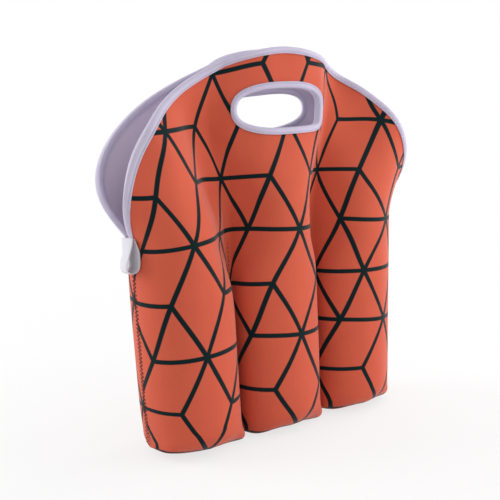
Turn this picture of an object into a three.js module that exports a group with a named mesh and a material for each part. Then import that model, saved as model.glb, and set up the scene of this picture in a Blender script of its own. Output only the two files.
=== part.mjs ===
// Padded neoprene carrier with three bottle tubes in one row and a cut-out grip in each flap.
// Millimetres, +Z up. The front faces -Y. The origin is under the middle of the base.
//
// Each panel is described on the flat cloth: s runs across the panel from its middle line and
// z runs up it. The formed shape bends that cloth into three tube fronts divided by column seams.
import * as THREE from 'three';

// Cloth and layers
const tubeCloth = 111.5; // cloth from one column seam to the next, on the lining face
const pocketHeight = 168; // floor to the foot of the side openings
const bagHeight = 304; // floor to the highest cloth of the flaps
const shellThickness = 2.5;
const liningThickness = 0.5;
const layerGap = 0.3; // between the shell and its lining
const pieceGap = 0.3; // between pieces that are sewn edge to edge

// Formed shape of the tubes and flaps
const lobeAngleBase = 82.5; // slope of a tube's flank beside the column seam, at the floor, degrees
const lobeAngleSeam = 77.3; // the same at the top of the pockets
const centreLobeAngle = 34; // the same once the middle of the flap has spread
const centreSpreadHeight = 108; // height over which the middle spreads
const sideLobeAngle = 6; // the same for the flap beside the middle
const sideSpreadHeight = 149;
const crestShareTop = 0.2; // flat share of each lobe at the top edge
const columnSeamCloth = 8; // cloth that rounds the valley on each side of a column seam
const columnGap = 2.4; // between the two linings at a column seam
const flapGap = 6; // between the two linings along the same lines in the flaps
const sideSeamGap = 1.2; // between the panels at the side seams
const sideSeamAngle = 90; // turn of the cloth from a side tube's crest to its seam, degrees
const openingHeight = 79; // height over which the side openings spread
const openingExponent = 1.45;
const floorRoundShare = 0.5; // inside radius of the fold at the floor, as a share of the tube's depth there

// Outline of the flaps on the flat cloth
const outlineWidthExponent = 1.79;
const outlineHeightExponent = 1.7;
const foldBandHeight = 16; // stretch of cloth above the pockets where a flap bends

// Grip slot on the flat cloth
const slotLength = 79;
const slotHeight = 32;
const slotDrop = 45; // from the highest cloth to the middle of the slot
const slotExponent = 2.6;

// Binding tape, seams and label
const bindingLeg = 4;
const bindingThickness = 0.8;
const bindingGap = 0.4; // between a binding and the cloth it folds over
const bindingFoot = 4.5; // binding starts this far above the foot of a side opening
const sideSeamWidth = 6;
const sideSeamThickness = 0.5;
const columnSeamWidth = 4;
const columnSeamDrop = 9; // column seams end this far below the side openings
const seamFloorClearance = 1;
const labelWidth = 17;
const labelLength = 27;
const labelRibbon = 0.7;
const labelFoldGap = 1.6;
const labelTurn = 25; // turn of the label out of the side seam's plane, degrees
const labelStand = 3; // from the side seam to the middle of the label
const labelForward = 3;

// Number of flat facets along each stretch of cloth
const flankSteps = 4;
const roundSteps = 2;
const sideSteps = 5;
const cornerSteps = 4;
const wallSteps = 3;
const slotQuarterSteps = 6;
const belowSlotSteps = 3;
const aboveSlotSteps = 2;

// Derived sizes
const half = tubeCloth / 2;
const sideEdge = tubeCloth + half;
const valley = half;
const valleyInside = valley - columnSeamCloth;
const valleyOutside = valley + columnSeamCloth;
const shellInside = liningThickness + layerGap;
const wallThickness = shellInside + shellThickness;
const flapHeight = bagHeight - pocketHeight;
const slotCentre = bagHeight - slotDrop;
const bandFoot = pocketHeight + pieceGap;
const bandTop = pocketHeight + foldBandHeight;
const handleFoot = bandTop + pieceGap;
const radians = THREE.MathUtils.degToRad;

const printColour = 0xe0674b;
const liningColour = 0xa79fb4;
const bindingColour = 0xc9c0da;
const threadColour = 0x2b2f33;
const labelColour = 0xf2f2f4;

const carrier = new THREE.Group();

function addPiece(name, geometry, colour, roughness) {
  const material = new THREE.MeshStandardMaterial({ color: colour, roughness, metalness: 0 });
  const mesh = new THREE.Mesh(geometry, material);
  mesh.name = name;
  carrier.add(mesh);
  return mesh;
}

// Formed shape

// Sizes of the horizontal section through the front panel at height z.
function sectionAt(z) {
  const spread = THREE.MathUtils.smoothstep(z, pocketHeight, pocketHeight + centreSpreadHeight);
  const sideSpread = THREE.MathUtils.smoothstep(z, pocketHeight, pocketHeight + sideSpreadHeight);
  const lowAngle = THREE.MathUtils.lerp(lobeAngleBase, lobeAngleSeam, Math.min(z / pocketHeight, 1));
  const lobe = radians(lowAngle + (centreLobeAngle - lobeAngleSeam) * spread);
  const sideLobe = radians(lowAngle + (sideLobeAngle - lobeAngleSeam) * sideSpread);
  const flat = half * crestShareTop * THREE.MathUtils.smoothstep(z, pocketHeight, bagHeight);
  const valleyDepth = THREE.MathUtils.lerp(columnGap, flapGap, spread) / 2;
  const crestDepth = valleyDepth + (half - flat) * (1 - Math.cos(lobe)) / lobe;
  const opening = THREE.MathUtils.clamp((z - pocketHeight) / openingHeight, 0, 1);
  const seamAngle = radians(sideSeamAngle);
  const side = Math.max(seamAngle * (1 - opening) ** openingExponent, 1e-3);
  if (z > pocketHeight) {
    const closed = sectionAt(pocketHeight);
    return { lobe, sideLobe, flat, crestDepth, side, sideFlat: closed.sideFlat * (1 - opening) };
  }
  const sideDepth = crestDepth - sideSeamGap / 2;
  const sideFlat = half - sideDepth * seamAngle / (1 - Math.cos(seamAngle));
  return { lobe, sideLobe, flat, crestDepth, side, sideFlat };
}

// Stretches of cloth from the middle line to the side edge: length, first slope, last slope.
function stretchesOf({ lobe, sideLobe, flat, side, sideFlat }) {
  const flank = half - flat - columnSeamCloth;
  return [
    [flat, 0, 0],
    [flank, 0, lobe],
    [columnSeamCloth, lobe, 0],
    [columnSeamCloth, 0, -sideLobe],
    [flank, -sideLobe, 0],
    [flat + sideFlat, 0, 0],
    [half - sideFlat, 0, side],
  ];
}

// Point of the front panel at cloth position s, z, lifted off the lining face by offset.
function formed(s, z, offset) {
  const section = sectionAt(z);
  const stretches = stretchesOf(section);
  let rest = Math.abs(s);
  let x = 0;
  let y = -section.crestDepth;
  let slope = 0;
  for (const [index, [length, first, last]] of stretches.entries()) {
    if (rest <= 0) break;
    const isLast = index === stretches.length - 1;
    const run = isLast ? rest : Math.min(rest, length);
    const bend = length === 0 ? 0 : (last - first) / length;
    slope = first + bend * run;
    x += bend === 0 ? Math.cos(first) * run : (Math.sin(slope) - Math.sin(first)) / bend;
    y += bend === 0 ? Math.sin(first) * run : (Math.cos(first) - Math.cos(slope)) / bend;
    rest -= length;
  }
  x += offset * Math.sin(slope);
  y -= offset * Math.cos(slope);
  return new THREE.Vector3(Math.sign(s) * x, y, z);
}

// Point of a pocket panel. A level above 0 climbs the wall, from -1 to 0 it turns through the
// fold at the floor, and at -2 it reaches the base line where front and rear meet.
function pocketPoint(s, level, offset) {
  const floor = wallThickness - offset;
  const foot = formed(s, floor, offset);
  const reach = -foot.y - pieceGap / 2;
  const liningReach = -formed(s, wallThickness, 0).y - pieceGap / 2;
  const radius = Math.min(floorRoundShare * liningReach + offset, 0.8 * reach);
  if (level > 0) {
    return formed(s, THREE.MathUtils.lerp(floor + radius, pocketHeight, level), offset);
  }
  const turn = Math.min(-level, 1) * Math.PI / 2;
  foot.y += radius * (1 - Math.cos(turn));
  foot.z = floor + radius * (1 - Math.sin(turn));
  if (level < -1) foot.y = THREE.MathUtils.lerp(foot.y, -pieceGap / 2, -1 - level);
  return foot;
}

// Edge of the flap on the flat cloth

function edgeWidth(z) {
  const climb = Math.max(z - pocketHeight, 0) / flapHeight;
  return sideEdge * (1 - climb ** outlineHeightExponent) ** (1 / outlineWidthExponent);
}

function edgeHeight(s) {
  const across = Math.abs(s) / sideEdge;
  return pocketHeight + flapHeight * (1 - across ** outlineWidthExponent) ** (1 / outlineHeightExponent);
}

function edgeNormal([s, z]) {
  const across = Math.abs(s) / sideEdge;
  const climb = (z - pocketHeight) / flapHeight;
  const ds = outlineWidthExponent * across ** (outlineWidthExponent - 1) / sideEdge;
  const dz = outlineHeightExponent * climb ** (outlineHeightExponent - 1) / flapHeight;
  return new THREE.Vector2(Math.sign(s) * ds, dz).normalize();
}

// The binding's inner line. Near the column seams it is measured straight down the cloth.
function belowEdge([s, z]) {
  const normal = edgeNormal([s, z]);
  if (Math.abs(s) <= valleyOutside) return [s, z - bindingLeg / normal.y];
  return [s - bindingLeg * normal.x, z - bindingLeg * normal.y];
}

// Patches of flat cloth

function between(from, to, steps) {
  return Array.from({ length: steps + 1 }, (_, i) => THREE.MathUtils.lerp(from, to, i / steps));
}

function pointsBetween([s0, z0], [s1, z1], steps) {
  return between(0, 1, steps).map((t) => [THREE.MathUtils.lerp(s0, s1, t), THREE.MathUtils.lerp(z0, z1, t)]);
}

// Two triangles of a four-sided facet of cloth, split along its shorter diagonal. Pieces that lie on
// each other are split alike, so their facets stay parallel.
function halvesOf([a, b, c, d]) {
  const length = (p, q) => Math.hypot(p[0] - q[0], p[1] - q[1]);
  const reach = (p, q) => Math.max(Math.abs(p[0]) + p[1], Math.abs(q[0]) + q[1]);
  const difference = length(a, c) - length(b, d);
  const isTie = Math.abs(difference) < 1e-6;
  const first = isTie ? reach(a, c) > reach(b, d) : difference < 0;
  return first ? [[0, 1, 2], [0, 2, 3]] : [[0, 1, 3], [1, 2, 3]];
}

// The same for a facet across the thickness of the cloth, between its edge points p and q: the
// split runs from the outer face at the higher point to the inner face at the lower one.
function edgeHalvesOf(p, q, startsOutside) {
  const isHigher = p[1] === q[1] ? Math.abs(p[0]) > Math.abs(q[0]) : p[1] > q[1];
  return isHigher === startsOutside ? [[0, 1, 2], [0, 2, 3]] : [[0, 1, 3], [1, 2, 3]];
}

class Patch {
  constructor() {
    this.points = [];
    this.triangles = [];
    this.known = new Map();
  }

  add([s, z]) {
    const key = `${s.toFixed(4)} ${z.toFixed(4)}`;
    if (!this.known.has(key)) {
      this.known.set(key, this.points.length);
      this.points.push([s, z]);
    }
    return this.known.get(key);
  }

  addTriangle(a, b, c) {
    if (a !== b && b !== c && c !== a) this.triangles.push([a, b, c]);
  }

  // Joins two columns of points, the first on the left, both listed upwards.
  addStrip(left, right) {
    for (let i = 0; i + 1 < left.length; i += 1) {
      const corners = [left[i], right[i], right[i + 1], left[i + 1]];
      for (const triple of halvesOf(corners)) {
        this.addTriangle(...triple.map((corner) => this.add(corners[corner])));
      }
    }
  }

  addColumns(columns) {
    for (let i = 0; i + 1 < columns.length; i += 1) this.addStrip(columns[i], columns[i + 1]);
  }
}

// Cloth positions from the middle line to the crest of a side tube.
function innerPositions() {
  return [
    ...between(0, valleyInside, flankSteps),
    ...between(valleyInside, valley, roundSteps).slice(1),
    ...between(valley, valleyOutside, roundSteps).slice(1),
    ...between(valleyOutside, tubeCloth, flankSteps).slice(1),
  ];
}

function mirrored(positions) {
  return [...positions.slice(1).reverse().map((s) => -s), ...positions];
}

// Pocket panel, from the base line under the tubes to the top of the pockets.
function pocketPatch() {
  const levels = [-2, ...between(-1, 0, cornerSteps), ...between(0, 1, wallSteps).slice(1)];
  const positions = [...innerPositions(), ...between(tubeCloth, sideEdge, sideSteps).slice(1)];
  const patch = new Patch();
  patch.addColumns(mirrored(positions).map((s) => levels.map((level) => [s, level])));
  return patch;
}

// Fold band, with a strip under the binding along each free edge.
const bandLevels = [bandFoot, pocketHeight + bindingFoot, bandTop];

function bandPatch() {
  const columns = innerPositions().map((s) => bandLevels.map((z) => [s, z]));
  for (let i = 1; i < sideSteps; i += 1) {
    const share = i / (sideSteps - 1);
    columns.push(bandLevels.map((z) => [
      THREE.MathUtils.lerp(tubeCloth, edgeWidth(z) - bindingLeg, share), z]));
  }
  columns.push(bandLevels.map((z) => [edgeWidth(z), z]));
  const leftColumns = columns.slice(1).reverse().map((column) => column.map(([s, z]) => [-s, z]));
  const patch = new Patch();
  patch.addColumns([...leftColumns, ...columns]);
  return patch;
}

// Points of the slot's edge from its left end over the top, or under the bottom, to its right end.
function slotArc(upwards) {
  const power = 2 / slotExponent;
  return between(Math.PI, 0, 2 * slotQuarterSteps).map((turn, i) => {
    const isEnd = i === 0 || i === 2 * slotQuarterSteps;
    const across = Math.sign(Math.cos(turn)) * Math.abs(Math.cos(turn)) ** power;
    const rise = isEnd ? 0 : Math.sin(turn) ** power;
    return [slotLength / 2 * across, slotCentre + upwards * slotHeight / 2 * rise];
  });
}

function besideSlot([s, z]) {
  const across = Math.abs(s) / (slotLength / 2);
  const rise = Math.abs(z - slotCentre) / (slotHeight / 2);
  const ds = Math.sign(s) * across ** (slotExponent - 1) / slotLength;
  const dz = Math.sign(z - slotCentre) * rise ** (slotExponent - 1) / slotHeight;
  const normal = new THREE.Vector2(ds, dz).normalize();
  return [s + bindingLeg * normal.x, z + bindingLeg * normal.y];
}

// Flap with its grip slot. Columns of cloth climb from the fold band to the free edge, broken by
// the slot, and the strips under both bindings have points of their own.
function flapLayout() {
  const slotUpper = slotArc(1);
  const slotLower = slotArc(-1);
  const upper = slotUpper.map(besideSlot);
  const lower = slotLower.map(besideSlot);
  const slotColumns = upper.map((above, i) => {
    const edge = [above[0], edgeHeight(above[0])];
    return { foot: [lower[i][0], handleFoot], below: lower[i], above, inner: belowEdge(edge), edge };
  });
  const lastSlot = slotColumns.at(-1);
  const middleShare = (slotCentre - handleFoot) / (lastSlot.inner[1] - handleFoot);
  const finish = (foot, edge, inner) => {
    const middle = pointsBetween(foot, inner, 1).reduce(([s0, z0], [s1, z1]) => [
      THREE.MathUtils.lerp(s0, s1, middleShare), THREE.MathUtils.lerp(z0, z1, middleShare)]);
    return { foot, below: middle, above: middle, inner, edge };
  };
  const besideSlotEnd = lastSlot.edge[0];
  const positions = [
    ...between(besideSlotEnd, valley, roundSteps).slice(1),
    ...between(valley, valleyOutside, roundSteps).slice(1),
    ...between(valleyOutside, tubeCloth, flankSteps).slice(1),
  ];
  const right = positions.map((s) => {
    const edge = [s, edgeHeight(s)];
    return finish([s, handleFoot], edge, belowEdge(edge));
  });
  const corner = edgeWidth(handleFoot);
  const heights = between(edgeHeight(tubeCloth), handleFoot, sideSteps).slice(1);
  heights.forEach((z, i) => {
    const share = (i + 1) / sideSteps;
    const foot = [THREE.MathUtils.lerp(tubeCloth, corner - bindingLeg, share), handleFoot];
    const edge = [edgeWidth(z), z];
    right.push(finish(foot, edge, share === 1 ? foot : belowEdge(edge)));
  });
  const flip = ([s, z]) => [-s, z];
  const left = right.toReversed().map((column) => Object.fromEntries(
    Object.entries(column).map(([key, point]) => [key, flip(point)])));
  return { columns: [...left, ...slotColumns, ...right], slotUpper, slotLower, upper, lower };
}

function flapPatch(layout) {
  const { columns, slotUpper, slotLower, upper, lower } = layout;
  const patch = new Patch();
  patch.addColumns(columns.map(({ foot, below }) => pointsBetween(foot, below, belowSlotSteps)));
  patch.addColumns(columns.map(({ above, inner }) => pointsBetween(above, inner, aboveSlotSteps)));
  patch.addColumns(columns.map(({ inner, edge }) => [inner, edge]));
  patch.addColumns(lower.map((point, i) => [point, slotLower[i]]));
  patch.addColumns(upper.map((point, i) => [slotUpper[i], point]));
  return patch;
}

// Solids

function solidFrom(positions, triangles) {
  const geometry = new THREE.BufferGeometry();
  const coordinates = positions.flatMap((point) => point.toArray());
  geometry.setAttribute('position', new THREE.Float32BufferAttribute(coordinates, 3));
  geometry.setIndex(triangles.flat());
  geometry.computeVertexNormals();
  return geometry;
}

// Thick sheet between two offsets of a patch, closed along every free edge of the patch.
function sheet(patch, place, inside, outside) {
  const count = patch.points.length;
  const positions = [outside, inside].flatMap((offset) => patch.points.map(([s, z]) => place(s, z, offset)));
  const triangles = patch.triangles.flatMap(([a, b, c]) => [[a, b, c], [a + count, c + count, b + count]]);
  const edges = new Set(patch.triangles.flatMap(([a, b, c]) => [`${a} ${b}`, `${b} ${c}`, `${c} ${a}`]));
  for (const edge of edges) {
    const [a, b] = edge.split(' ').map(Number);
    if (!edges.has(`${b} ${a}`)) {
      const ring = [a, a + count, b + count, b];
      const halves = edgeHalvesOf(patch.points[a], patch.points[b], true);
      triangles.push(...halves.map((triple) => triple.map((corner) => ring[corner])));
    }
  }
  return solidFrom(positions, triangles);
}

// Folded tape round a cloth edge. Each station is a pair of cloth points: on the edge and on the
// tape's inner line. The tape lies against both faces of the cloth, a small gap away.
function tape(stations, closed) {
  const near = bindingGap;
  const far = bindingGap + bindingThickness;
  const positions = [];
  for (const { edge, inner } of stations) {
    const outward = new THREE.Vector2(edge[0] - inner[0], edge[1] - inner[1]).normalize();
    const past = (distance) => [edge[0] + distance * outward.x, edge[1] + distance * outward.y];
    const ring = [
      [inner, wallThickness + near], [inner, wallThickness + far], [past(far), wallThickness + far],
      [past(far), -far], [inner, -far], [inner, -near],
      [past(near), -near], [past(near), wallThickness + near],
    ];
    positions.push(...ring.map(([[s, z], offset]) => formed(s, z, offset)));
  }
  const lines = ['inner', 'inner', 'edge', 'edge', 'inner', 'inner', 'edge', 'edge'];
  const sides = lines.length;
  const triangles = [];
  const spans = closed ? stations.length : stations.length - 1;
  for (let i = 0; i < spans; i += 1) {
    const next = (i + 1) % stations.length;
    for (let k = 0; k < sides; k += 1) {
      const m = (k + 1) % sides;
      const ring = [[i, k], [i, m], [next, m], [next, k]];
      const cloth = ring.map(([station, corner]) => stations[station][lines[corner]]);
      const crossesEdge = lines[k] === lines[m];
      const startsOutside = k === 2;
      const halves = crossesEdge ? edgeHalvesOf(cloth[0], cloth[2], startsOutside) : halvesOf(cloth);
      for (const triple of halves) {
        triangles.push(triple.map((corner) => ring[corner][0] * sides + ring[corner][1]));
      }
    }
  }
  if (!closed) {
    const caps = [[0, 1, 2], [0, 2, 7], [7, 2, 3], [7, 3, 6], [6, 3, 4], [6, 4, 5]];
    const end = (stations.length - 1) * sides;
    for (const [a, b, c] of caps) triangles.push([a, c, b], [end + a, end + b, end + c]);
  }
  return solidFrom(positions, triangles);
}

// The rear of the carrier is the front turned over the middle plane, and the right side likewise.
function reflected(geometry, axis) {
  const copy = geometry.clone();
  const position = copy.getAttribute('position');
  const component = axis === 'x' ? 0 : 1;
  for (let i = 0; i < position.count; i += 1) {
    position.setComponent(i, component, -position.getComponent(i, component));
  }
  copy.setIndex(Array.from(copy.getIndex().array).reverse());
  copy.computeVertexNormals();
  return copy;
}

function addFrontAndRear(name, geometry, colour, roughness) {
  addPiece(`front_${name}`, geometry, colour, roughness);
  addPiece(`rear_${name}`, reflected(geometry, 'y'), colour, roughness);
}

// Pockets and fold bands
const pocket = pocketPatch();
addFrontAndRear('pocket_panel', sheet(pocket, pocketPoint, shellInside, wallThickness), printColour, 0.85);
addFrontAndRear('pocket_lining', sheet(pocket, pocketPoint, 0, liningThickness), liningColour, 0.9);

const band = bandPatch();
addFrontAndRear('fold_band', sheet(band, formed, shellInside, wallThickness), printColour, 0.85);
addFrontAndRear('fold_lining', sheet(band, formed, 0, liningThickness), liningColour, 0.9);

const bandEdge = bandLevels.slice(1).map((z) => ({
  edge: [edgeWidth(z), z],
  inner: [edgeWidth(z) - bindingLeg, z],
}));
const rightFoldBinding = tape(bandEdge, false);
addFrontAndRear('right_fold_binding', rightFoldBinding, bindingColour, 0.8);
addFrontAndRear('left_fold_binding', reflected(rightFoldBinding, 'x'), bindingColour, 0.8);

// Flaps with their bindings
const layout = flapLayout();
const flap = flapPatch(layout);
addFrontAndRear('handle_panel', sheet(flap, formed, shellInside, wallThickness), printColour, 0.85);
addFrontAndRear('handle_lining', sheet(flap, formed, 0, liningThickness), liningColour, 0.9);

const edgeBinding = tape(layout.columns.toReversed(), false);
addFrontAndRear('edge_binding', edgeBinding, bindingColour, 0.8);

const slotStations = [
  ...layout.slotUpper.map((edge, i) => ({ edge, inner: layout.upper[i] })),
  ...layout.slotLower.map((edge, i) => ({ edge, inner: layout.lower[i] })).slice(1, -1).reverse(),
];
addFrontAndRear('grip_binding', tape(slotStations, true), bindingColour, 0.8);

// Side seams: a flat band of stitches over the joint of the two panels
function sideSeamPoint(v, z, offset) {
  const fromEdge = Math.max(Math.abs(v) - sideSeamGap / 2, 0);
  const point = formed(sideEdge - fromEdge, z, offset);
  const acrossGap = Math.min(Math.abs(v), sideSeamGap / 2) - sideSeamGap / 2;
  point.y = Math.sign(v) * (-point.y + acrossGap);
  return point;
}

function seamPatch(width, bottom, top, acrossSteps) {
  const levels = between(bottom, top, wallSteps);
  const patch = new Patch();
  patch.addColumns(between(-width / 2, width / 2, acrossSteps).map((v) => levels.map((z) => [v, z])));
  return patch;
}

const seamInside = wallThickness + pieceGap;
const sideSeamFoot = wallThickness + seamFloorClearance;
const sideSeam = sheet(
  seamPatch(sideSeamWidth, sideSeamFoot, pocketHeight - seamFloorClearance, 4),
  sideSeamPoint, seamInside, seamInside + sideSeamThickness);
addPiece('right_side_seam', sideSeam, threadColour, 0.7);
addPiece('left_side_seam', reflected(sideSeam, 'x'), threadColour, 0.7);

// Column seams: the sewn web that ties front to rear between neighbouring tubes
const columnWeb = columnGap / 2 - pieceGap;

function columnSeamPoint(u, z, offset) {
  return new THREE.Vector3(formed(valley, z, 0).x + u, -offset, z);
}

const columnSeam = sheet(
  seamPatch(columnSeamWidth, sideSeamFoot, pocketHeight - columnSeamDrop, 1),
  columnSeamPoint, -columnWeb, columnWeb);
addPiece('right_column_seam', columnSeam, threadColour, 0.7);
addPiece('left_column_seam', reflected(columnSeam, 'x'), threadColour, 0.7);

// Side label: a bare ribbon folded into a loop, its two ends caught at the foot of the left opening
function labelGeometry() {
  const inner = labelFoldGap / 2;
  const outer = inner + labelRibbon;
  const drop = -(labelLength - outer);
  const loop = new THREE.Shape();
  loop.moveTo(outer, 0);
  loop.lineTo(inner, 0);
  loop.lineTo(inner, drop);
  loop.absarc(0, drop, inner, 0, -Math.PI, true);
  loop.lineTo(-inner, 0);
  loop.lineTo(-outer, 0);
  loop.lineTo(-outer, drop);
  loop.absarc(0, drop, outer, -Math.PI, 0, false);
  return new THREE.ExtrudeGeometry(loop, { depth: labelWidth, bevelEnabled: false, curveSegments: 6 });
}

const labelLoop = labelGeometry().translate(0, 0, -labelWidth / 2).rotateX(Math.PI / 2);
const label = addPiece('side_label', labelLoop, labelColour, 0.6);
const seamFace = formed(sideEdge, pocketHeight, seamInside + sideSeamThickness).x;
label.rotation.z = radians(labelTurn);
label.position.set(-(seamFace + labelStand), -labelForward, pocketHeight);

export default carrier;
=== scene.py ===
"""Dressed model of the padded bottle carrier: printed panels, lining, bound edges, seams and label."""
import math

import bpy
import numpy as np
from mathutils import Matrix, Vector


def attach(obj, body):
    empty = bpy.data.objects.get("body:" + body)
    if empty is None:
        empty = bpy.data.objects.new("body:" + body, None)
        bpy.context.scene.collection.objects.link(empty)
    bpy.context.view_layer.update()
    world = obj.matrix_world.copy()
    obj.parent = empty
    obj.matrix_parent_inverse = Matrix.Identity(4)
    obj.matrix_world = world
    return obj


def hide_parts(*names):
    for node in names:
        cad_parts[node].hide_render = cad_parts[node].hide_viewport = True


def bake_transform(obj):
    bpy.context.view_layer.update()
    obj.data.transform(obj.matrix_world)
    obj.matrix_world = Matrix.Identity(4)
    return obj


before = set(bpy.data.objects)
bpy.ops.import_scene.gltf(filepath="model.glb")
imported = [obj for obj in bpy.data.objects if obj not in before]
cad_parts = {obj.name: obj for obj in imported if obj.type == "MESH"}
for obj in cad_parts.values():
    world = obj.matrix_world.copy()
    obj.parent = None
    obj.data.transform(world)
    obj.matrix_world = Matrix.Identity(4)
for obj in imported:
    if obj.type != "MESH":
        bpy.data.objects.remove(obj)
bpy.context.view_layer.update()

MM = 0.001
TURN = 2 * math.pi
TINY = 1e-9
# Turns a piece of the front into the same piece of the rear
MIRROR = np.array((1.0, -1.0, 1.0))

# Cloth of the part's own source, in millimetres: s runs across it from the middle and z up
TUBE = 111.5
HALF = TUBE / 2
SIDE = TUBE + HALF
POCKET = 168.0
TOP = 304.0
FLAP = TOP - POCKET
LINING = 0.5
SHELL_IN = 0.8
WALL = 3.3
COLUMN_TOP = POCKET - 9.0

# Camera fitted to the photograph
YAW, PITCH, ROLL = math.radians(34.163), math.radians(10.489), math.radians(-2.11)
DISTANCE = 697.4
FOCAL_PIXELS, IMAGE_PIXELS = 874.28, 500
TARGET = Vector((-16.2, 0.0, 147.9))
SENSOR_WIDTH = 36.0
CLIP_START, CLIP_END = 0.01, 50.0


def make_camera():
    back = Vector((-math.sin(YAW) * math.cos(PITCH), -math.cos(YAW) * math.cos(PITCH), math.sin(PITCH)))
    right = (-back).cross(Vector((0, 0, 1))).normalized()
    up = right.cross(-back).normalized()
    across = right * math.cos(ROLL) + up * math.sin(ROLL)
    upward = up * math.cos(ROLL) - right * math.sin(ROLL)
    data = bpy.data.cameras.new("camera")
    data.sensor_width = SENSOR_WIDTH
    data.lens = FOCAL_PIXELS / IMAGE_PIXELS * SENSOR_WIDTH
    data.clip_start, data.clip_end = CLIP_START, CLIP_END
    camera = bpy.data.objects.new("camera", data)
    place = (TARGET + back * DISTANCE) * MM
    camera.matrix_world = Matrix.Translation(place) @ Matrix((across, upward, back)).transposed().to_4x4()
    bpy.context.scene.collection.objects.link(camera)
    bpy.context.scene.camera = camera


make_camera()


# Small helpers

def smooth(x, low, high):
    """0 up to low, 1 from high on and a smooth step between them."""
    t = np.clip((x - low) / (high - low), 0.0, 1.0)
    return t * t * (3 - 2 * t)


def bell(x, middle, reach):
    """1 at the middle, falling smoothly to 0 on both sides."""
    return np.exp(-((x - middle) / reach) ** 2)


def unit(vectors):
    return vectors / np.maximum(np.linalg.norm(vectors, axis=-1, keepdims=True), TINY)


def run_lengths(line):
    """Length of a line of points up to each of them."""
    return np.concatenate([[0], np.cumsum(np.linalg.norm(np.diff(line, axis=0), axis=1))])


def along(distances, lengths, values):
    """Pairs of values at distances along a line."""
    return np.stack([np.interp(distances, lengths, values[:, k]) for k in (0, 1)], -1)


# Slopes of the tubes' flanks in degrees: at the base, at the tubes' top and, past a spread, on the flap
LOBE_BASE, LOBE_SEAM = 82.5, 77.3
CENTRE_LOBE, CENTRE_SPREAD = 34.0, 108.0
SIDE_LOBE, SIDE_SPREAD = 6.0, 149.0
CREST_SHARE = 0.2
# Where the flanks ease off their full slope, near the tubes' top
FLANK_EASE = 0.27
EASE_GROWS = (POCKET - 56.0, POCKET - 8.0)
EASE_FADES = (POCKET + 17.0, POCKET + 82.0)
LEAST_EASE = 1e-6
COLUMN_CLOTH = 8.0
COLUMN_GAP, FLAP_GAP, SIDE_GAP = 2.4, 6.0, 1.2
# Side openings: the height over which each opens, and how fast
LEFT_OPENING, LEFT_OPENING_POWER = 79.0, 1.45
RIGHT_OPENING, RIGHT_OPENING_POWER = 101.4, 1.41
LEAST_SIDE_TURN = 1e-3
# Sway of the flap to the right, most at its top and held back towards its sides
SWAY, SWAY_POWER = 9.0, 1.2
SWAY_HELD, SWAY_SIDES = 0.75, (60.0, 130.0)


def flank_of(lobe, span, ease):
    """Steepest slope, bent length and depth of a flank that is eased off but reaches as far across."""
    steep = lobe * (1 - ease)
    level = np.cos(steep)
    bent = np.sin(steep) / steep
    bent_share = (np.sin(lobe) / lobe - level) / np.maximum(bent - level, TINY)
    share = np.where(ease > LEAST_EASE, bent_share, 1.0)
    depth = span * (share * (1 - level) / steep + (1 - share) * np.sin(steep))
    return steep, span * share, depth


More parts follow.
